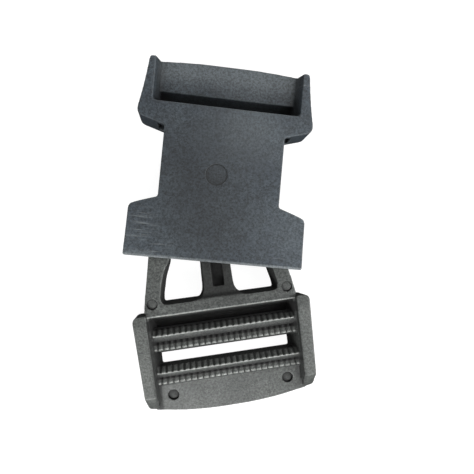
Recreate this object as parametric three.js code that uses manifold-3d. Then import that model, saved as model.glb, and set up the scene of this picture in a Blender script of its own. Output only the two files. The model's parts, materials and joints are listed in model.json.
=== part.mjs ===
// Side-release buckle for 38 mm webbing, shown released: the plug lies in the socket's mouth, tilted.
//
// Millimetres, +Z up. The buckle lies on its rear face (z = 0), and the face that shows is on top.
// The part's origin is on the socket's rear face, on the socket's centre line.
//   socket    one hollow moulding: two plates, a band round the mouth, ears and a webbing bar
//   plug      one moulding, split where it bends: a frame with a tongue and two ladder bars,
//             and two spring arms that turn about the roots where they flex
// The socket is drawn with x across and y = 0 at its mouth. The plug is drawn with x across and
// y = 0 on the line between the tops of its rails, and a group then sets it at its tilt.

import * as THREE from 'three';
import { mergeVertices } from 'three/addons/utils/BufferGeometryUtils.js';
import Module from 'manifold-3d';

const wasm = await Module();
wasm.setup();

// ---- driving dimensions -------------------------------------------------------------------------

const GAP = 0.3;                       // clearance between neighbouring pieces
const OVERSHOOT = 5;                   // how far a cutter runs past the material

const SOCKET = {
  thick: 11.4,
  plate: 2.1,                          // wall of the front and rear plates
  mouthHalf: 26.25,
  bandHalf: 26.0,                      // half width where the band round the mouth ends
  bandTop: 14.9,
  waistHalf: 17.85,
  waistStart: 17.75,
  waistEnd: 38.75,
  shoulderHalf: 26.5,
  shoulderStart: 41.3,
  earTip: 58.9,
  earHalf: 23.9,
  originY: 26.0,                       // height above the mouth where the part's origin lies
};

const CAVITY = {
  mouthHalf: 24.0,                     // half width inside the band
  throatStart: 12.5,                   // where the band starts to close in
  ledgeHalf: 21.9,                     // half opening between the two catch ledges
  ledgeStart: 14.9,
  shoulderHalf: 20.0,
  windowEnd: 42.2,                     // upper edge of the side windows
  end: 42.5,                           // face of the end wall
};

const SOCKET_BAR = {
  half: 22.05,                         // half width between the ears at the front
  floorHalf: 20.6,                     // the same, down at the bar
  top: 6.6,
  bottom: 0.6,
  slotStart: 45.8,                     // webbing slot's edge on the plate side
  innerTop: 49.9,                      // bar's inner edge at its top and at its underside
  innerBottom: 48.4,
  outerMiddle: 59.85,
  outerEnd: 59.05,
};

const RIB = { inner: 6.3, innerEnd: 4.75, outer: 7.1, start: 21.0, straight: 26.6, end: 29.0 };

const GATE_MARK = { x: -1.4, y: 25.7, radius: 3.2, depth: 0.2 };

const PLUG = {
  x: 3.97,                             // where the plug's own origin lies, from the socket's mouth
  y: -13.77,
  tiltDegrees: 12.44,
  railTop: 11.0,
  railHalf: 26.25,                     // half width over the rails at their top end
  railFootHalf: 25.2,
  railInner: 22.2,
  railInnerFoot: 21.6,
  railHead: 1.4,
  chamferStart: -22.2,
  footSide: -26.3,                     // the frame's foot at its sides and at its middle
  footMiddle: -29.1,
  slotHalf: 19.6,                      // half length of the see-through slot at the underside
  barUnderside: 0.6,                   // lifted off the table so that webbing can wrap the bars
};

const FORK = {
  bottom: 2.4,                         // everything that enters the socket lies between these
  top: 9.0,
  tongueTop: 8.0,
  tongueHalf: 4.25,
  tongueEnd: 28.0,
  grooveHalf: 1.7,
  grooveStart: 7.2,
  grooveEnd: 25.6,
  grooveFloor: 5.5,
  holeFloor: 3.75,                     // lower edge of the openings beside the tongue
  openingHalf: 18.5,                   // they lie nearer the middle than this
  draft: 1.1,                          // how far the openings' sides close in towards the rear
  draftStart: 13,                      // the draft fades out between these heights
  draftEnd: 19,
};

const ARM = {
  pivotX: 20.0,                        // where the arm bends, and the round root about it
  pivotY: 5.6,
  rootRadius: 3.55,
};

const EJECTOR_MARK = { radius: 1.6, depth: 0.35 };

// ---- shapes -------------------------------------------------------------------------------------

// Each corner is [x, y] or [x, y, radius]; a radius rounds it.
function outline(corners) {
  const shape = new THREE.Shape();
  corners.forEach((corner, index) => {
    const [x, y, radius = 0] = corner;
    const here = new THREE.Vector2(x, y);
    const before = towards(here, corners.at(index - 1), radius);
    const after = towards(here, corners[(index + 1) % corners.length], radius);
    if (index === 0) shape.moveTo(before.x, before.y);
    else shape.lineTo(before.x, before.y);
    if (radius > 0) shape.quadraticCurveTo(x, y, after.x, after.y);
  });
  shape.closePath();
  return shape;
}

function towards(from, [x, y], distance) {
  const step = new THREE.Vector2(x, y).sub(from);
  return step.setLength(Math.min(distance, step.length() / 2)).add(from);
}

// A right half listed anticlockwise, closed by its own mirror image.
function mirrored(rightHalf) {
  const leftHalf = rightHalf.map(([x, y, radius]) => [-x, y, radius]).reverse();
  return outline([...rightHalf, ...leftHalf]);
}

function circle(x, y, radius) {
  const shape = new THREE.Shape();
  shape.absarc(x, y, radius, 0, 2 * Math.PI);
  return shape;
}

function rectangle(x0, y0, x1, y1) {
  return outline([[x0, y0], [x1, y0], [x1, y1], [x0, y1]]);
}

// ---- solids -------------------------------------------------------------------------------------

function solidOf(geometry) {
  geometry.deleteAttribute('normal');
  geometry.deleteAttribute('uv');
  const merged = mergeVertices(geometry, 1e-5);
  return new wasm.Manifold(new wasm.Mesh({
    numProp: 3,
    vertProperties: new Float32Array(merged.attributes.position.array),
    triVerts: new Uint32Array(merged.index.array),
  }));
}

// Raises a plan shape from z = low to z = high; bend may then move each point.
function raised(shape, low, high, { bend = null, curveSegments = 6 } = {}) {
  const geometry = new THREE.ExtrudeGeometry(shape, {
    depth: high - low,
    bevelEnabled: false,
    curveSegments,
  });
  geometry.translate(0, 0, low);
  if (bend) movePoints(geometry, bend);
  return solidOf(geometry);
}

function movePoints(geometry, bend) {
  const points = geometry.attributes.position;
  for (let i = 0; i < points.count; i += 1) {
    const [x, y, z] = bend(points.getX(i), points.getY(i), points.getZ(i));
    points.setXYZ(i, x, y, z);
  }
}

// Sweeps a profile drawn in (y, z) across the part, from x = -half to x = half.
function across(profile, half) {
  const geometry = new THREE.ExtrudeGeometry(outline(profile), {
    depth: 2 * half,
    bevelEnabled: false,
    curveSegments: 3,
  });
  geometry.rotateX(Math.PI / 2).rotateZ(Math.PI / 2).translate(-half, 0, 0);
  return solidOf(geometry);
}

function union(solids) {
  return solids.reduce((whole, next) => whole.add(next));
}

function cut(solid, cutters) {
  return cutters.reduce((whole, next) => whole.subtract(next), solid);
}

function bothSides(solid) {
  return solid.add(solid.mirror([1, 0, 0]));
}

function meshOf(name, solid, material) {
  const { vertProperties, triVerts } = solid.getMesh();
  const geometry = new THREE.BufferGeometry();
  geometry.setAttribute('position', new THREE.BufferAttribute(vertProperties, 3));
  geometry.setIndex(new THREE.BufferAttribute(triVerts, 1));
  geometry.computeVertexNormals();
  const mesh = new THREE.Mesh(geometry, material);
  mesh.name = name;
  return mesh;
}

// ---- socket -------------------------------------------------------------------------------------

function socketOutline() {
  return mirrored([
    [SOCKET.mouthHalf, 0, 0.5],
    [SOCKET.bandHalf, SOCKET.bandTop, 1.4],
    [22.2, 16.35, 2.5],
    [SOCKET.waistHalf, SOCKET.waistStart, 0.5],
    [SOCKET.waistHalf, SOCKET.waistEnd, 0.5],
    [SOCKET.shoulderHalf, SOCKET.shoulderStart, 2.4],
    [24.9, 49.8, 8],
    [SOCKET.earHalf, SOCKET.earTip, 0.9],
  ]);
}

// The opening for the plug: it narrows at the ledges, opens sideways at the windows, and ends
// inside the hollow shoulders.
function cavity() {
  const window = SOCKET.mouthHalf + OVERSHOOT;
  const plan = mirrored([
    [CAVITY.mouthHalf, -OVERSHOOT],
    [CAVITY.mouthHalf, CAVITY.throatStart, 1],
    [CAVITY.ledgeHalf, CAVITY.ledgeStart, 0.4],
    [CAVITY.ledgeHalf, SOCKET.waistStart - 0.9],
    [window, SOCKET.waistStart - 2.4],
    [window, CAVITY.windowEnd],
    [CAVITY.shoulderHalf, SOCKET.waistEnd + 0.5],
    [CAVITY.shoulderHalf, CAVITY.end, 2],
  ]);
  return raised(plan, SOCKET.plate, SOCKET.thick - SOCKET.plate);
}

// Two ribs join the plates and centre the plug's tongue; their lower ends flare to lead it in.
function guideRibs() {
  const plan = outline([
    [RIB.inner, RIB.start, 0.3],
    [RIB.outer, RIB.start, 0.3],
    [RIB.outer, RIB.end, 0.5],
    [RIB.innerEnd, RIB.end, 0.5],
    [RIB.innerEnd, RIB.straight, 1],
  ]);
  const intoPlates = SOCKET.plate / 2;
  return bothSides(raised(plan, intoPlates, SOCKET.thick - intoPlates));
}

// The recess between the ears, from the front down to the bar, with drafted side walls.
function barRecess() {
  const top = SOCKET.thick + 1;
  const plan = mirrored([
    [SOCKET_BAR.half, SOCKET_BAR.slotStart, 1.4],
    [SOCKET_BAR.half, SOCKET.earTip + OVERSHOOT],
  ]);
  const draft = (SOCKET_BAR.half - SOCKET_BAR.floorHalf) / (SOCKET.thick - SOCKET_BAR.top);
  const narrow = (x, y, z) => [x - Math.sign(x) * draft * (SOCKET.thick - z), y, z];
  return raised(plan, SOCKET_BAR.top, top, { bend: narrow });
}

// The webbing slot, right through; it leans back towards the mouth as it goes down.
function webbingSlot() {
  const lean = (SOCKET_BAR.innerTop - SOCKET_BAR.innerBottom) / (SOCKET_BAR.top - SOCKET_BAR.bottom);
  const plan = mirrored([
    [SOCKET_BAR.floorHalf, SOCKET_BAR.slotStart, 1.4],
    [SOCKET_BAR.floorHalf, SOCKET_BAR.innerTop],
  ]);
  const leanBack = (x, y, z) => [x, y - lean * (SOCKET_BAR.top - z), z];
  return raised(plan, -SOCKET_BAR.bottom, SOCKET_BAR.top, { bend: leanBack });
}

// Lifts the bar's underside off the table so that webbing can wrap it.
function barUnderside() {
  const half = SOCKET_BAR.floorHalf;
  const plan = rectangle(-half, SOCKET_BAR.innerBottom - 1, half, SOCKET_BAR.outerMiddle + OVERSHOOT);
  return raised(plan, -OVERSHOOT, SOCKET_BAR.bottom);
}

// The bar's outer edge is slightly bowed, and stands a little past the ears' tips.
function bowedEnd() {
  const plan = mirrored([
    [SOCKET_BAR.floorHalf + 1, SOCKET_BAR.innerTop + 1],
    [SOCKET_BAR.floorHalf + 1, SOCKET_BAR.outerEnd],
    [SOCKET_BAR.floorHalf / 2, SOCKET_BAR.outerMiddle, 6],
  ]);
  return raised(plan, SOCKET_BAR.bottom, SOCKET_BAR.top);
}

function buildSocket() {
  const body = raised(socketOutline(), 0, SOCKET.thick);
  const mark = raised(
    circle(GATE_MARK.x, GATE_MARK.y, GATE_MARK.radius),
    SOCKET.thick - GATE_MARK.depth,
    SOCKET.thick + OVERSHOOT,
    { curveSegments: 20 },
  );
  const hollow = cut(body, [cavity(), barRecess(), barUnderside(), mark]);
  return cut(union([hollow, guideRibs(), bowedEnd()]), [webbingSlot()]);
}

// ---- plug ---------------------------------------------------------------------------------------

// The whole fork that enters the socket, before its arms are parted from it: a crossbar, the
// tongue between two rounded openings, and the arms with their catch heads.
function forkOutline() {
  return mirrored([
    [22.5, 0.45],
    [22.65, 2.5, 0.5],
    [21.4, 9.0, 5],
    [19.3, 19.2, 0.3],
    [21.4, 19.2, 0.5],
    [21.3, 23.5, 4],
    [17.9, 31.0, 4],
    [13.4, 34.0, 1.6],
    [12.5, 30.0, 3],
    [12.9, 17.4, 3],
    [15.9, 13.2, 3],
    [17.7, 5.6, 2],
    [17.3, FORK.holeFloor, 2.6],
    [FORK.tongueHalf, FORK.holeFloor, 4.4],
    [FORK.tongueHalf, FORK.tongueEnd, 2.5],
  ]);
}

// The openings beside the tongue close in towards the rear: the arms' side more than the tongue's.
function draftOpenings(x, y, z) {
  const atRear = z < (FORK.bottom + FORK.top) / 2;
  const inOpening = y > FORK.holeFloor + 0.1 && Math.abs(x) < FORK.openingHalf;
  if (!atRear || !inOpening) return [x, y, z];
  const fade = 1 - THREE.MathUtils.smoothstep(y, FORK.draftStart, FORK.draftEnd);
  const inward = Math.abs(x) > FORK.openingHalf / 2 ? -FORK.draft : FORK.draft / 2;
  return [x + Math.sign(x) * inward * fade, y, z];
}

function fork() {
  const body = raised(
    forkOutline(),
    FORK.bottom,
    FORK.top,
    { bend: draftOpenings, curveSegments: 5 },
  );
  const marks = [[20.1, 4.35], [-20.1, 4.35]].map(([x, y]) => raised(
    circle(x, y, EJECTOR_MARK.radius),
    FORK.top - EJECTOR_MARK.depth,
    FORK.top + OVERSHOOT,
    { curveSegments: 12 },
  ));
  const tongueFace = across([
    [FORK.holeFloor + 0.1, FORK.top + OVERSHOOT],
    [FORK.holeFloor + 0.1, FORK.top],
    [FORK.holeFloor + 1.3, FORK.tongueTop],
    [FORK.tongueEnd + OVERSHOOT, FORK.tongueTop],
    [FORK.tongueEnd + OVERSHOOT, FORK.top + OVERSHOOT],
  ], 9);
  const groove = raised(
    rectangle(-FORK.grooveHalf, FORK.grooveStart, FORK.grooveHalf, FORK.grooveEnd),
    FORK.grooveFloor,
    FORK.top + OVERSHOOT,
  );
  return cut(body, [...marks, tongueFace, groove]);
}

// Where an arm may be: everything above its bending line, and a round root about the pivot.
function armRegion(grow) {
  const half = rectangle(FORK.tongueHalf + 4, ARM.pivotY - grow, 40, FORK.tongueEnd + 20);
  const root = circle(ARM.pivotX, ARM.pivotY, ARM.rootRadius + grow);
  return raised(half, -1, 12).add(raised(root, -1, 12, { curveSegments: 24 }));
}

function rails() {
  const plan = outline([
    [PLUG.railInner, PLUG.railHead, 0.5],
    [PLUG.railInnerFoot, PLUG.footSide - 0.4],
    [PLUG.railFootHalf - 0.5, PLUG.footSide, 1],
    [PLUG.railFootHalf, PLUG.chamferStart, 1],
    [PLUG.railHalf, PLUG.railHead, 2],
  ]);
  const slope = across([
    [PLUG.chamferStart, PLUG.railTop],
    [PLUG.chamferStart, PLUG.railTop + OVERSHOOT],
    [PLUG.footMiddle - OVERSHOOT, PLUG.railTop + OVERSHOOT],
    [PLUG.footMiddle - OVERSHOOT, 3],
    [PLUG.footSide, 6.1],
  ], PLUG.railHalf + OVERSHOOT);
  return cut(bothSides(raised(plan, 0, PLUG.railTop)), [slope]);
}

// Profiles in (y, z), each swept between the rails. The sloping gaps between them are the
// webbing slots.
const CROSSBAR_PROFILE = [
  [FORK.holeFloor - 0.1, FORK.top],
  [0.45, FORK.top, 0.3],
  [0.45, 7.8, 0.4],
  [-1.0, 4.0, 0.6],
  [-4.1, 1.8, 0.5],
  [-4.1, 0.5, 0.4],
  [1.0, 0.5, 0.4],
  [1.0, FORK.bottom],
  [4.7, FORK.bottom, 0.4],
];

const FRONT_BAR_PROFILE = [
  [-3.3, 6.6, 0.3],
  [-4.6, 8.9],
  [-5.3, 8.9],
  [-6.9, 7.7, 0.6],
  [-8.7, 8.5],
  [-9.4, 8.5],
  [-9.7, 7.4, 0.3],
  [-11.1, 1.4, 0.3],
  [-10.7, PLUG.barUnderside, 0.3],
  [-7.7, PLUG.barUnderside, 0.4],
];

const FOOT_PROFILE = [
  [-14.3, 0, 0.3],
  [-14.3, 6.6, 0.4],
  [-15.5, 8.6],
  [-16.1, 8.6],
  [-17.3, 7.7, 0.5],
  [-18.6, 8.1],
  [-19.2, 8.1],
  [-19.6, 7.3],
  [-30, 5.2],
  [-30, 0],
];

function footPlan() {
  return raised(mirrored([
    [PLUG.railFootHalf - 1, 5],
    [PLUG.railFootHalf - 1, PLUG.footSide - 0.3],
    [10, PLUG.footMiddle + 0.15, 8],
  ].reverse()), -OVERSHOOT, PLUG.railTop);
}

// The rails' inner walls slope in below the bars and close the ends of the slots.
function slotEnds() {
  const plan = rectangle(PLUG.slotHalf, -24, PLUG.railInner + 0.8, 0.4);
  const spread = (PLUG.railInnerFoot - PLUG.slotHalf) / (FORK.top - PLUG.barUnderside);
  const lean = (x, y, z) => (x < PLUG.railInnerFoot
    ? [x + spread * (z - PLUG.barUnderside), y, z]
    : [x, y, z]);
  const upright = raised(plan, 0, PLUG.barUnderside);
  const sloping = raised(plan, PLUG.barUnderside, FORK.top, { bend: lean });
  return bothSides(upright.add(sloping));
}

function footMarks() {
  return [17.2, -17.2].map((x) => raised(
    circle(x, -23, EJECTOR_MARK.radius),
    5.9,
    FORK.top,
    { curveSegments: 12 },
  ));
}

function buildFrame(wholeFork) {
  const between = PLUG.railInner + 0.4;
  const bars = union([
    across(CROSSBAR_PROFILE, between),
    across(FRONT_BAR_PROFILE, between),
    across(FOOT_PROFILE, between).intersect(footPlan()),
  ]);
  const body = union([wholeFork, rails(), bars, slotEnds()]);
  const armRoom = bothSides(armRegion(GAP));
  return cut(body, [armRoom, ...footMarks()]);
}

// ---- assembly -----------------------------------------------------------------------------------

function moulded(colour) {
  return new THREE.MeshStandardMaterial({ color: colour, roughness: 0.55, metalness: 0 });
}

function buildBuckle() {
  const buckle = new THREE.Group();

  const socketGroup = new THREE.Group();
  socketGroup.position.y = -SOCKET.originY;
  socketGroup.add(meshOf('socket_body', buildSocket(), moulded(0x3f4446)));
  buckle.add(socketGroup);

  const wholeFork = fork();
  const rightArm = wholeFork.intersect(armRegion(0));
  const leftArm = rightArm.mirror([1, 0, 0]);
  const plugGroup = new THREE.Group();
  plugGroup.position.set(PLUG.x, PLUG.y - SOCKET.originY, 0);
  plugGroup.rotation.z = THREE.MathUtils.degToRad(PLUG.tiltDegrees);
  plugGroup.add(meshOf('plug_frame', buildFrame(wholeFork), moulded(0x414547)));
  plugGroup.add(meshOf('spring_arm_left', leftArm, moulded(0x414547)));
  plugGroup.add(meshOf('spring_arm_right', rightArm, moulded(0x414547)));
  buckle.add(plugGroup);

  return buckle;
}

export default buildBuckle();
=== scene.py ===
"""Side release buckle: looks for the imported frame, and the scene that shows it.

The CAD solids give every shape. Each moulding here is made from its own CAD mesh: remeshed and
relaxed so that the edges get the small rounds of an injection moulding, then given the fine
features that the CAD leaves out (teeth on the ladder bars, crisp ejector marks, gate mark).
The plug and its arms are one moulding in reality, so they are remeshed as one and parted at the
arms' roots, where the arm pieces bend between the plug's body and their own.

Lengths are in millimetres, except for the lights and inside the shader nodes, which use metres.
"""

import json
import math
from collections import namedtuple

import bmesh
import bpy
from mathutils import Euler, Matrix, Vector


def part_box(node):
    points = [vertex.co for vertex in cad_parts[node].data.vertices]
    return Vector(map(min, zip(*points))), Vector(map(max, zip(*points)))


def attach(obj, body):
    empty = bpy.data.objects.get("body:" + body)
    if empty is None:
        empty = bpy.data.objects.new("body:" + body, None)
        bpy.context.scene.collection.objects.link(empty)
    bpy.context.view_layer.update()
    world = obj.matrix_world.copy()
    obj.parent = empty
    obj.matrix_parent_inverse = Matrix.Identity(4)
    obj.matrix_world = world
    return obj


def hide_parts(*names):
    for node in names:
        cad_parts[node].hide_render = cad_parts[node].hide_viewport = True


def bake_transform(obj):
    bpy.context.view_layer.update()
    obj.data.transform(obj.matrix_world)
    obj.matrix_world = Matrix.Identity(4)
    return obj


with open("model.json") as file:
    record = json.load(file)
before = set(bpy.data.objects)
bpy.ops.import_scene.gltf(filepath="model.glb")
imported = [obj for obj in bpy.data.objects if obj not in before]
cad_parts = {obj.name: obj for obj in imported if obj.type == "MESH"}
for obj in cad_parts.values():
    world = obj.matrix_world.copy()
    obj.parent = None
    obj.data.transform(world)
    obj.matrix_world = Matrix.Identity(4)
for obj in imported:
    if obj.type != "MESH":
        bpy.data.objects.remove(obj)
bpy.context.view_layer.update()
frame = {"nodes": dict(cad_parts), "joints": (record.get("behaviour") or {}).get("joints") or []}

MM = 0.001

# ---- the plug's own axes, worked out from the frame's joints -------------------------------------

JOINTS = {j["name"]: j for j in frame["joints"]}
TILT = math.radians(JOINTS["plug_insert"]["range_deg"][1])
PIVOT_Y = 5.6                      # the arms' bending line, above the plug's origin
PIVOT_RIGHT = Vector(JOINTS["arm_right_flex"]["pos_m"]) / MM
PIVOT_LEFT = Vector(JOINTS["arm_left_flex"]["pos_m"]) / MM


def plug_axes():
    """Matrix from the plug's own axes to the row frame's."""
    turn = Matrix.Rotation(TILT, 4, "Z")
    middle = (PIVOT_RIGHT + PIVOT_LEFT) / 2
    middle.z = 0
    return Matrix.Translation(middle) @ turn @ Matrix.Translation((0, -PIVOT_Y, 0))


PLUG = plug_axes()

# ---- measures of the features that are made or marked here ---------------------------------------

# The socket's, in the frame's axes.
SOCKET_VOXEL = 0.27
GATE_MARK = (-1.4, -0.3)           # where the plastic came in: a shallow disc on the front
GATE_RADIUS = 3.2
GATE_DEPTH = 0.3

# The plug's, in its own axes.
PLUG_VOXEL = 0.24
FORK_LOW = 2.4                     # the arms and the tongue lie between these heights
FORK_HIGH = 9.0
ARM_PART_Y = 2.35                  # where the arm pieces part from the plug's own piece
ABOVE = FORK_HIGH + 2              # clear of any face that a mark is cut in
TOP = 12                           # above both mouldings

EJECTOR_MARKS = [(20.1, 4.35), (-20.1, 4.35), (17.2, -23), (-17.2, -23)]
EJECTOR_RADIUS = 1.6
ROOT_MARK_DEPTH = 0.35             # of the two marks on the arms' roots
FOOT_MARK_FLOOR = 5.8              # height of the floor of the two marks on the foot

CRESTS = [(-4.95, 8.75), (-9.05, 8.35), (-15.8, 8.45), (-18.9, 7.95)]  # the ridges' (y, z)
CREST_HALF = 20.9                  # the ridges run from -x to x
CREST_BEAD = [(0.42, -0.3), (0.28, 0.15), (0.1, 0.38), (-0.1, 0.38), (-0.28, 0.15), (-0.42, -0.3)]
BAR_LIP = [(-4.1, 7.9), (-2.85, 5.75), (-4.2, 5.3)]

# Teeth are V grooves across the slope that leads up to each ridge: (y, z) where they start and
# end. They only nick the steep ridges' crests, and run right through the shallow ones.
TOOTHED_SLOPES = [
    ((-3.2, 6.45), (-4.85, 9.2)),
    ((-6.7, 7.6), (-9.6, 8.87)),
    ((-13.6, 5.5), (-15.7, 8.9)),
    ((-17.1, 7.65), (-19.6, 8.46)),
]
TOOTH_PITCH = 1.75
TOOTH_COUNT = 24
TOOTH_DEPTH = 0.55
TOOTH_HALF_WIDTH = 0.82
TOOTH_OPEN_SIDE = 0.2              # how far above the slope a groove's cutter stands

# ---- mesh helpers: everything is built in millimetres --------------------------------------------


def link(name, data):
    made = bpy.data.objects.new(name, data)
    bpy.context.scene.collection.objects.link(made)
    return made


def cad_solid(cad_node):
    """A welded copy of a CAD node's mesh, in millimetres."""
    mesh = frame["nodes"][cad_node].data.copy()
    mesh.materials.clear()
    mesh.transform(Matrix.Scale(1 / MM, 4))
    build = bmesh.new()
    build.from_mesh(mesh)
    bmesh.ops.remove_doubles(build, verts=build.verts, dist=0.002)
    build.to_mesh(mesh)
    build.free()
    return link(cad_node + "_work", mesh)


def finished(build, name, axes):
    """The built faces as a piece, set in the given axes."""
    bmesh.ops.recalc_face_normals(build, faces=build.faces)
    mesh = bpy.data.meshes.new(name)
    build.to_mesh(mesh)
    build.free()
    mesh.transform(axes)
    return link(name, mesh)


def add_hull(build, first, second):
    """Adds a closed prism between two like rings of points."""
    ends = [[build.verts.new(p) for p in ring] for ring in (first, second)]
    build.faces.new(list(reversed(ends[0])))
    build.faces.new(ends[1])
    for i in range(len(first)):
        j = (i + 1) % len(first)
        build.faces.new((ends[0][i], ends[0][j], ends[1][j], ends[1][i]))


def prism(points, low, high, axes):
    """A closed prism over a plan outline, from z = low to z = high."""
    build = bmesh.new()
    add_hull(build, [(x, y, low) for x, y in points], [(x, y, high) for x, y in points])
    return finished(build, "prism", axes)


def disc(x, y, radius, low, high, axes, sides=40):
    turn = [2 * math.pi * i / sides for i in range(sides)]
    ring = [(x + radius * math.cos(a), y + radius * math.sin(a)) for a in turn]
    return prism(ring, low, high, axes)


def add_sweep(build, profile, half):
    """Adds a (y, z) profile swept from x = -half to x = half."""
    add_hull(build, [(-half, y, z) for y, z in profile], [(half, y, z) for y, z in profile])


def apply(piece):
    """Makes the piece's modifiers part of its mesh."""
    shown = piece.evaluated_get(bpy.context.evaluated_depsgraph_get())
    mesh = bpy.data.meshes.new_from_object(shown)
    piece.modifiers.clear()
    piece.data = mesh
    return piece


def combine(piece, other, operation):
    """Joins or cuts piece with other, and removes other."""
    step = piece.modifiers.new("combine", "BOOLEAN")
    step.object = other
    step.operation = operation
    step.solver = "MANIFOLD"
    apply(piece)
    bpy.data.objects.remove(other)
    return piece


def mould(piece, voxel, rounds):
    """Remeshes the piece evenly and relaxes it, which rounds its edges."""
    remesh = piece.modifiers.new("remesh", "REMESH")
    remesh.mode = "VOXEL"
    remesh.voxel_size = voxel
    relax = piece.modifiers.new("relax", "SMOOTH")
    relax.factor = 0.5
    relax.iterations = rounds
    return apply(piece)


def finish_piece(piece, name, material, crease=38):
    """Names the piece, turns it into metres, and shades it smooth up to the crease angle."""
    piece.name = name
    piece.data.name = name
    piece.data.transform(Matrix.Scale(MM, 4))
    piece.data.materials.clear()
    piece.data.materials.append(material)
    piece.data.shade_smooth()
    piece.data.set_sharp_from_angle(angle=math.radians(crease))
    return piece


# ---- shader helpers ------------------------------------------------------------------------------

MIX_FIRST, MIX_SECOND, MIX_RESULT = 6, 7, 2    # the colour sockets of a Mix node


def node(tree, kind, **settings):
    made = tree.nodes.new(kind)
    for key, value in settings.items():
        if key in made.inputs:
            made.inputs[key].default_value = value
        else:
            setattr(made, key, value)
    return made


def feed(tree, pairs):
    """Sets each socket to its value, or links it to the output that gives it."""
    for socket, value in pairs:
        if isinstance(value, (int, float, tuple)):
            socket.default_value = value
        else:
            tree.links.new(value, socket)


def mapped(tree, place, **settings):
    made = node(tree, "ShaderNodeMapping", **settings)
    tree.links.new(place, made.inputs["Vector"])
    return made.outputs["Vector"]


def noise(tree, place, scale, detail, roughness=0.6):
    made = node(tree, "ShaderNodeTexNoise", Scale=scale, Detail=detail, Roughness=roughness)
    tree.links.new(place, made.inputs["Vector"])
    return made.outputs["Fac"]


def spread(tree, value, low, high, to_low=0.0, to_high=1.0):
    """Maps value from low..high to to_low..to_high, clamped."""
    made = tree.nodes.new("ShaderNodeMapRange")
    tree.links.new(value, made.inputs["Value"])
    made.inputs["From Min"].default_value = low
    made.inputs["From Max"].default_value = high
    made.inputs["To Min"].default_value = to_low
    made.inputs["To Max"].default_value = to_high
    return made.outputs["Result"]


def mix(tree, amount, first, second):
    made = node(tree, "ShaderNodeMix", data_type="RGBA")
    tree.links.new(amount, made.inputs["Factor"])
    feed(tree, ((made.inputs[MIX_FIRST], first), (made.inputs[MIX_SECOND], second)))
    return made.outputs[MIX_RESULT]


def math_node(tree, operation, first, second):
    made = node(tree, "ShaderNodeMath", operation=operation)
    feed(tree, ((made.inputs[0], first), (made.inputs[1], second)))
    return made.outputs[0]


def times(tree, first, second):
    return math_node(tree, "MULTIPLY", first, second)


def scaled(tree, colour, factor):
    made = node(tree, "ShaderNodeVectorMath", operation="SCALE")
    tree.links.new(colour, made.inputs[0])
    tree.links.new(factor, made.inputs["Scale"])
    return made.outputs[0]


def coat(tree, under, over, mask, strength):
    """The colour under, with the colour over laid on it where the mask is."""
    return mix(tree, times(tree, mask, strength), under, over)


# ---- masks: 1 where a mark is, 0 elsewhere -------------------------------------------------------

# A soft upright cylinder, and a soft-edged box given by its spans.
Spot = namedtuple("Spot", "centre radius softness strength", defaults=[1])
Box = namedtuple("Box", "x y z fade strength")


def within(tree, place, centre, radius, softness=0.1):
    """1 inside an upright cylinder about centre, 0 outside it."""
    flat = node(tree, "ShaderNodeVectorMath", operation="MULTIPLY")
    tree.links.new(place, flat.inputs[0])
    flat.inputs[1].default_value = (1, 1, 0)
    apart = node(tree, "ShaderNodeVectorMath", operation="DISTANCE")
    tree.links.new(flat.outputs[0], apart.inputs[0])
    apart.inputs[1].default_value = (centre[0] * MM, centre[1] * MM, 0)
    return spread(tree, apart.outputs["Value"], (radius + softness) * MM, (radius - softness) * MM)


def within_spot(tree, place, spot):
    return within(tree, place, spot.centre, spot.radius, spot.softness)


def soft_boxes(tree, here, axes, boxes):
    """A mask of all the boxes, each at its own strength, in a moulding's own axes."""
    own = mapped(tree, here, vector_type="TEXTURE", Location=axes.to_translation() * MM,
                 Rotation=axes.to_euler())
    parts = node(tree, "ShaderNodeSeparateXYZ")
    tree.links.new(own, parts.inputs[0])
    total = 0.0
    for box in boxes:
        mask = box.strength
        for axis, (low, high) in zip("XYZ", (box.x, box.y, box.z)):
            apart = math_node(tree, "SUBTRACT", parts.outputs[axis], (low + high) / 2 * MM)
            apart = math_node(tree, "ABSOLUTE", apart, 0.0)
            half = (high - low) / 2
            near = spread(tree, apart, (half + box.fade) * MM, half * MM)
            mask = times(tree, near, mask)
        total = math_node(tree, "MAXIMUM", mask, total)
    return total


def both_sides(inner, outer, y, z, fade, strength):
    """The same box at +x and at -x."""
    return [Box(x, y, z, fade, strength) for x in ((inner, outer), (-outer, -inner))]


def crescent(tree, here, centre, radius):
    """Painted shade in a crescent on the near side of a round recess."""
    unshaded = (centre[0] + 0.15 * radius, centre[1] + 0.4 * radius)
    whole = within(tree, here, centre, radius)
    return math_node(tree, "SUBTRACT", whole, within(tree, here, unshaded, 0.9 * radius, 0.2))


def streaks(tree, place, along, across, turn, low, high):
    """Fine streaks roughly along x: a stretched noise, cut off at low and full at high."""
    stretched = mapped(tree, place, Scale=(along, across, along), Rotation=(0, 0, turn))
    return spread(tree, noise(tree, stretched, 1, 2), low, high)


def scratch_mask(tree, place):
    """Sparse long scratches, here and there."""
    lines = streaks(tree, place, along=25, across=900, turn=0.06, low=0.70, high=0.76)
    return times(tree, lines, spread(tree, noise(tree, place, 55, 1), 0.55, 0.66))


def scuff_mask(tree, here, spots):
    """Dense short scratches within the given spots."""
    lines = streaks(tree, here, along=120, across=2200, turn=0.1, low=0.52, high=0.68)
    total = 0.0
    for spot in spots:
        scuffed = times(tree, lines, within_spot(tree, here, spot))
        total = math_node(tree, "MAXIMUM", scuffed, total)
    return total


# ---- plastics ------------------------------------------------------------------------------------

PAINTED_SHADE_BLACK = (0.006, 0.006, 0.006, 1)    # near black, painted as shade into crevices, recesses, linings and slots
CREVICE_SHADE = [(5.0, 0.3, 0.92), (1.5, 0.55, 0.95)]   # painted shade by ambient occlusion: reach, openness where it is full and where none
SCRATCH_STRENGTH = 0.3
SCUFF_STRENGTH = 0.45
PLASTIC_IOR = 1.48


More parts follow.
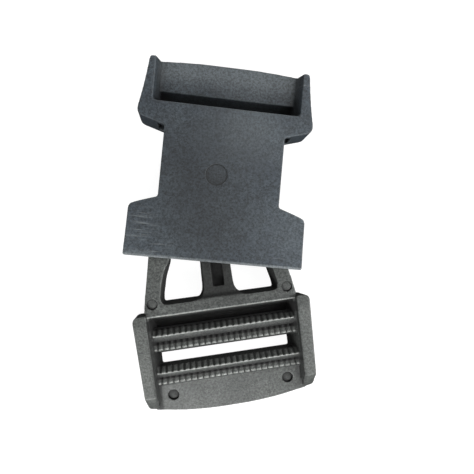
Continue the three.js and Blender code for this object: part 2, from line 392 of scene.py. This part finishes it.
def moulded_plastic(name, dark, light, worn_and_lit, edge_wear_and_highlight, seed, axes, rubbed_and_highlit, painted_shade_boxes, painted_light_spots,
                    shaded_spots, round_recesses, scuffed_spots=()):
    """Charcoal acetal: mottled flow, a fine pebbled skin, sparse scratches, rubbed edges, and
    painted highlight, light and shade.

    The rubbed boxes (pale: rubbed wear, painted highlight and painted light) and the shaded ones
    (near black: painted shade) are in the moulding's axes; the spots and the round recesses, which
    are (centre, radius, strength), are in the frame's.
    """
    material = bpy.data.materials.new(name)
    material.use_nodes = True
    tree = material.node_tree
    shader = tree.nodes["Principled BSDF"]
    here = node(tree, "ShaderNodeTexCoord").outputs["Object"]
    place = mapped(tree, here, Location=(seed, 0.7 * seed, 0.3 * seed))

    # Features of about 15 mm, 2 mm and, for the last two, under 1 mm.
    clouds = noise(tree, place, 70, 3)
    mottle = noise(tree, place, 420, 4, 0.65)
    specks = noise(tree, place, 1700, 2, 0.8)
    pebbles = noise(tree, place, 2600, 2)

    edge = node(tree, "ShaderNodeNewGeometry").outputs["Pointiness"]
    broken = spread(tree, mottle, 0.35, 0.6, 0.45, 1.0)
    # Convex edges made pale: rubbed wear, and a painted highlight along the rounded edges.
    worn_highlit_edges = times(tree, spread(tree, edge, 0.51, 0.56), broken)
    gritty = spread(tree, specks, 0.4, 0.6, 0.55, 1.0)
    # Pale boxes: rubbed wear, painted highlight on crests and edges, painted light on slopes and
    # tops.
    rub_and_highlight = times(tree, soft_boxes(tree, here, axes, rubbed_and_highlit), gritty)
    scratches = scratch_mask(tree, place)
    # Near-black boxes of painted shade in linings, slots, valleys and on walls.
    painted_shade = soft_boxes(tree, here, axes, painted_shade_boxes)

    # The plastic itself, then what has been rubbed or scratched pale, with painted highlight on the
    # edges and painted light in the light spots.
    colour = mix(tree, spread(tree, clouds, 0.32, 0.68), dark, light)
    colour = scaled(tree, colour, spread(tree, mottle, 0.3, 0.7, 0.87, 1.13))
    colour = scaled(tree, colour, spread(tree, specks, 0.36, 0.64, 0.45, 1.65))
    colour = coat(tree, colour, worn_and_lit, worn_highlit_edges, edge_wear_and_highlight)
    # Pale spots of painted light.
    for spot in painted_light_spots:
        colour = coat(tree, colour, worn_and_lit, within_spot(tree, here, spot), spot.strength)
    colour = coat(tree, colour, worn_and_lit, scratches, SCRATCH_STRENGTH)
    if scuffed_spots:
        colour = coat(tree, colour, worn_and_lit, scuff_mask(tree, here, scuffed_spots), SCUFF_STRENGTH)

    # Painted shade lies over that: near black in the crevices, by ambient occlusion, and in the
    # shaded boxes, but not on the rubbed and highlit crests and rims.
    for reach, full, none in CREVICE_SHADE:
        occlusion = node(
            tree, "ShaderNodeAmbientOcclusion", Distance=reach * MM, samples=8, only_local=True)
        colour = mix(tree, spread(tree, occlusion.outputs["AO"], full, none), PAINTED_SHADE_BLACK, colour)
    # Painted shade in the shaded boxes.
    colour = mix(tree, painted_shade, colour, PAINTED_SHADE_BLACK)
    # Rubbed wear and painted highlight, over the painted shade.
    colour = mix(tree, rub_and_highlight, colour, worn_and_lit)
    # Painted shade: a crescent on the near side of each round recess, then the shaded spots.
    for centre, radius, strength in round_recesses:
        colour = coat(tree, colour, PAINTED_SHADE_BLACK, crescent(tree, here, centre, radius), strength)
    for spot in shaded_spots:
        colour = coat(tree, colour, PAINTED_SHADE_BLACK, within_spot(tree, here, spot), spot.strength)
    tree.links.new(colour, shader.inputs["Base Color"])

    # Worn and highlit edges are glossier than the skin, and the painted shade is duller.
    rough = spread(tree, mottle, 0.3, 0.7, 0.42, 0.58)
    rough = math_node(tree, "SUBTRACT", rough, times(tree, worn_highlit_edges, 0.08))
    rough = math_node(tree, "ADD", rough, times(tree, painted_shade, 0.5))
    tree.links.new(rough, shader.inputs["Roughness"])
    shader.inputs["IOR"].default_value = PLASTIC_IOR

    height = math_node(tree, "ADD", times(tree, pebbles, 0.5), mottle)
    height = math_node(tree, "SUBTRACT", height, times(tree, scratches, 0.5))
    bump = node(tree, "ShaderNodeBump", Strength=0.45, Distance=0.0002)
    tree.links.new(height, bump.inputs["Height"])
    tree.links.new(bump.outputs["Normal"], shader.inputs["Normal"])
    return material


def on_plug(x, y):
    """A place in the plug's axes, as the frame's x and y."""
    return (PLUG @ Vector((x, y, 0)))[:2]


BAR_SPAN = (-CREST_HALF, CREST_HALF)
TOOTHED_SPANS = [(-4.8, -3.7), (-9.0, -7.9), (-15.6, -14.4), (-18.9, -17.9)]   # of y

SOCKET_PLASTIC = moulded_plastic(
    "socket_plastic",
    dark=(0.026, 0.034, 0.043, 1),
    light=(0.042, 0.053, 0.062, 1),
    worn_and_lit=(0.26, 0.285, 0.29, 1),
    edge_wear_and_highlight=0.3,
    seed=0.31,
    axes=Matrix(),
    rubbed_and_highlit=[
        Box((-27, 27), (-26, -25.4), (11, TOP), 0.2, 0.5),      # the mouth's front edge: painted highlight and rubbed wear
        Box((-27, -18), (-26, -25), (11, TOP), 1.5, 0.2),       # its left end: rubbed wear and painted highlight
        Box((-19, 19), (30, 36), (0, 8), 5, 0.26),              # the webbing bar: painted light
    ],
    painted_shade_boxes=both_sides(20.7, 21.3, (18, 34), (6, 10.6), 0.8, 0.45),   # painted shade on the ears' inner walls
    # painted light: upper right, the band's left end, where it is also rubbed wear, and lower right
    painted_light_spots=[
        Spot((6, 14), 5, 13, 0.19),
        Spot((-26, -19), 2, 6, 0.07),
        Spot((20, -18), 4, 10, 0.05),
    ],
    # painted shade over the gate mark's recess, left of the middle and low in the middle
    shaded_spots=[
        Spot(GATE_MARK, GATE_RADIUS, 0.1, 0.18),
        Spot((-9, -1), 15, 13, 0.48),
        Spot((-1, -17), 11, 8, 0.35),
    ],
    # painted shade in a crescent on the near side of the gate mark
    round_recesses=[(GATE_MARK, GATE_RADIUS, 0.25)],
    scuffed_spots=[Spot((-22, -17), 3.5, 3), Spot((-16, -23), 2, 3)],
)

PLUG_PLASTIC = moulded_plastic(
    "plug_plastic",
    dark=(0.040, 0.044, 0.042, 1),
    light=(0.062, 0.067, 0.063, 1),
    worn_and_lit=(0.46, 0.48, 0.46, 1),
    edge_wear_and_highlight=0.12,
    seed=0.83,
    axes=PLUG,
    rubbed_and_highlit=[
        # painted highlight and rubbed wear along the ridges' crests
        *(Box(BAR_SPAN, (y - 0.14, y + 0.14), (z, TOP), 0.25, 0.85) for y, z in CRESTS),
        Box((-21.9, 21.9), (0.6, 0.8), (8.6, TOP), 0.2, 0.5),   # painted highlight on the crossbar's edge
        # painted light on the toothed slopes
        *(Box(BAR_SPAN, y_span, (6, TOP), 0.2, 0.13) for y_span in TOOTHED_SPANS),
        *both_sides(22.8, 27, (-27, -2), (9.5, TOP), 0.6, 0.07),    # painted light on the rails' tops
    ],
    painted_shade_boxes=[
        Box((-22, 22), (-3.1, -0.5), (0, TOP), 0.5, 0.9),       # painted shade in the slot behind the front bar
        Box((-21.5, 21.5), (-7.4, -6.7), (0, TOP), 1.2, 0.75),  # painted shade in the bars' valleys
        Box((-21.5, 21.5), (-17.6, -17.1), (0, TOP), 1.0, 0.75),
        Box((-18.5, 18.5), (3, 40), (0, 8.6), 0.3, 0.75),       # painted shade in the fork's openings
        Box((-21.9, -20.8), (-28, -0.5), (0, TOP), 0.6, 0.5),   # painted shade on the rails' inner walls
        Box((20.8, 21.9), (-28, -0.5), (0, TOP), 0.6, 0.25),
    ],
    # painted light at the left rail's foot
    painted_light_spots=[Spot(on_plug(-25, -24), 4, 12, 0.07)],
    # painted shade in the foot's ejector marks, on the tongue and on the crossbar's middle
    shaded_spots=[
        *(Spot(on_plug(x, y), EJECTOR_RADIUS, 0.1, 0.3) for x, y in EJECTOR_MARKS if y < 0),
        Spot(on_plug(0, 12), 8, 6, 0.1),
        Spot(on_plug(3, 3), 8, 8, 0.25),
    ],
    # painted shade in a crescent on the near side of each ejector mark
    round_recesses=[(on_plug(x, y), EJECTOR_RADIUS, 0.85) for x, y in EJECTOR_MARKS],
)

# ---- socket --------------------------------------------------------------------------------------


def make_socket():
    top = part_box("socket_body")[1].z / MM
    socket = mould(cad_solid("socket_body"), SOCKET_VOXEL, 4)
    mark = disc(*GATE_MARK, GATE_RADIUS, top - GATE_DEPTH, top + 2, Matrix())
    combine(socket, mark, "DIFFERENCE")
    return finish_piece(socket, "socket_moulding", SOCKET_PLASTIC)


socket = make_socket()
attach(socket, "socket")
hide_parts("socket_body")

# ---- plug ----------------------------------------------------------------------------------------

SIDES = {"left": -1, "right": 1}


def root_filler(side):
    """Fills the clearance that the CAD leaves round an arm's root."""
    outline = [(22.45, 1.6), (22.2, 4.5), (21.85, 7.2), (17.65, 7.2), (17.45, 5.6), (17.1, 4.3),
               (16.3, 3.75), (16.3, 1.6)]
    points = [(side * x, y) for x, y in outline]
    return prism(points, FORK_LOW + 0.02, FORK_HIGH - 0.02, PLUG)


def add_groove(build, start, end, out):
    """A V prism: its apex runs inside the slope, its open side just above it."""
    wide = Vector((TOOTH_HALF_WIDTH, 0, 0))
    rings = []
    for point in (start, end):
        top = point + TOOTH_OPEN_SIDE * out
        rings.append((point - TOOTH_DEPTH * out, top + wide, top - wide))
    add_hull(build, *rings)


def tooth_grooves():
    """All the V grooves as one mesh of separate prisms."""
    build = bmesh.new()
    for (y0, z0), (y1, z1) in TOOTHED_SLOPES:
        along = Vector((0, y1 - y0, z1 - z0)).normalized()
        out = Vector((0, -along.z, along.y))
        if out.z < 0:
            out = -out
        for i in range(TOOTH_COUNT):
            x = (i - (TOOTH_COUNT - 1) / 2) * TOOTH_PITCH
            add_groove(build, Vector((x, y0, z0)), Vector((x, y1, z1)), out)
    return finished(build, "grooves", PLUG)


def crest_beads():
    """A narrow bead along the crest of each ridge."""
    build = bmesh.new()
    for y, z in CRESTS:
        add_sweep(build, [(y + dy, z + dz) for dy, dz in CREST_BEAD], CREST_HALF)
    return finished(build, "beads", PLUG)


def bar_lip():
    """Carries the front bar's rear edge on to a crisp lip, which overhangs the slot behind it."""
    build = bmesh.new()
    add_sweep(build, BAR_LIP, CREST_HALF)
    return finished(build, "lip", PLUG)


def ejector_cutters(x, y, floor):
    """A shallow recess, and the deeper crescent that a slightly slanted pin leaves at one side."""
    recess = disc(x, y, EJECTOR_RADIUS, floor, ABOVE, PLUG)
    deeper = disc(x, y, EJECTOR_RADIUS, floor - 1, ABOVE, PLUG)
    kept_x = x - math.copysign(0.08, x)
    kept = disc(kept_x, y + 0.32, 0.94 * EJECTOR_RADIUS, 0, ABOVE + 2, PLUG)
    return recess, combine(deeper, kept, "DIFFERENCE")


def whole_plug():
    """The plug as one moulding, arms and all."""
    body = cad_solid("plug_frame")
    for cad_node in ("spring_arm_left", "spring_arm_right"):
        combine(body, cad_solid(cad_node), "UNION")
    for side in (1, -1):
        combine(body, root_filler(side), "UNION")
    mould(body, PLUG_VOXEL, 3)
    combine(body, bar_lip(), "UNION")
    combine(body, crest_beads(), "UNION")
    combine(body, tooth_grooves(), "DIFFERENCE")
    for x, y in EJECTOR_MARKS:
        floor = FORK_HIGH - ROOT_MARK_DEPTH if y > 0 else FOOT_MARK_FLOOR
        for cutter in ejector_cutters(x, y, floor):
            combine(body, cutter, "DIFFERENCE")
    return body


def arm_space(side):
    """The space that holds one arm, above the line where it parts from the plug."""
    inner, outer, beyond_tip = 9.0, 24.5, 40
    outline = [(inner, 5.5), (15.6, 5.5), (16.9, ARM_PART_Y), (outer, ARM_PART_Y),
               (outer, beyond_tip), (inner, beyond_tip)]
    return prism([(side * x, y) for x, y in outline], 1, TOP, PLUG)


def make_plug():
    body = whole_plug()
    arms = {}
    for name, side in SIDES.items():
        arm = link("arm_work", body.data.copy())
        arms[name] = combine(arm, arm_space(side), "INTERSECT")
    for side in SIDES.values():
        combine(body, arm_space(side), "DIFFERENCE")
    finish_piece(body, "plug_moulding", PLUG_PLASTIC)
    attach(body, "plug")
    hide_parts("plug_frame")
    for name, side in SIDES.items():
        arm = arms[name]
        finish_piece(arm, "spring_arm_" + name + "_moulding", PLUG_PLASTIC)
        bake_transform(arm)
        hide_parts("spring_arm_" + name)


make_plug()

# ---- scene ---------------------------------------------------------------------------------------

PAPER = (0.2, 0.2, 0.2, 1)
PAPER_GLOW = 0.94
WHITE = (1, 1, 1, 1)


def make_floor():
    """White paper that mostly glows of its own, so that shadows on it stay faint."""
    bpy.ops.mesh.primitive_plane_add(size=6, location=(0, 0, 0))
    floor = bpy.context.object
    floor.name = "floor"
    floor.visible_diffuse = False
    floor.visible_glossy = False
    material = bpy.data.materials.new("paper")
    material.use_nodes = True
    shader = material.node_tree.nodes["Principled BSDF"]
    shader.inputs["Base Color"].default_value = PAPER
    shader.inputs["Roughness"].default_value = 0.9
    shader.inputs["Specular IOR Level"].default_value = 0.0
    shader.inputs["Emission Color"].default_value = WHITE
    shader.inputs["Emission Strength"].default_value = PAPER_GLOW
    floor.data.materials.append(material)


def area_light(name, where, aim, size, power):
    """A rectangular light: metres and watts."""
    data = bpy.data.lights.new(name, "AREA")
    data.shape = "RECTANGLE"
    data.size, data.size_y = size
    data.energy = power
    light = link(name, data)
    light.location = where
    light.rotation_euler = (Vector(aim) - Vector(where)).to_track_quat("-Z", "Y").to_euler()


def make_world():
    """A pale room for the camera; as a light it is bright overhead and dim near the table."""
    world = bpy.data.worlds.new("studio")
    bpy.context.scene.world = world
    world.use_nodes = True
    tree = world.node_tree
    background = tree.nodes["Background"]
    direction = node(tree, "ShaderNodeTexCoord").outputs["Generated"]
    height = node(tree, "ShaderNodeSeparateXYZ")
    tree.links.new(direction, height.inputs[0])
    glow = spread(tree, height.outputs["Z"], 0.1, 0.9, 0.05, 0.5)
    seen = node(tree, "ShaderNodeLightPath").outputs["Is Camera Ray"]
    tree.links.new(math_node(tree, "MAXIMUM", glow, seen), background.inputs["Strength"])
    background.inputs["Color"].default_value = WHITE


def make_lights():
    area_light("far_softbox", (0.2, 0.34, 0.7), (0, 0, 0), (0.5, 0.4), 1.15)
    area_light("side_softbox", (0.2, -0.03, 0.12), (0.02, -0.02, 0), (0.1, 0.22), 0.45)
    area_light("near_softbox", (-0.02, -0.24, 0.15), (0, -0.06, 0), (0.24, 0.1), 0.72)


CAMERA_PLACE = (-7.13, -24.825, 157.1)
CAMERA_TURN = (2.210, -5.450, 5.110)   # degrees about x, y and z, from looking straight down


def make_camera():
    """A phone held over the buckle, a little to the left of its middle."""
    camera = link("camera", bpy.data.cameras.new("camera"))
    turn = Euler([math.radians(angle) for angle in CAMERA_TURN])
    camera.matrix_world = Matrix.LocRotScale(Vector(CAMERA_PLACE) * MM, turn, None)
    camera.data.sensor_width = 36
    camera.data.lens = 37.98
    camera.data.clip_start = 0.005
    bpy.context.scene.camera = camera


make_floor()
make_world()
make_lights()
make_camera()
bpy.context.scene.view_settings.view_transform = "Standard"
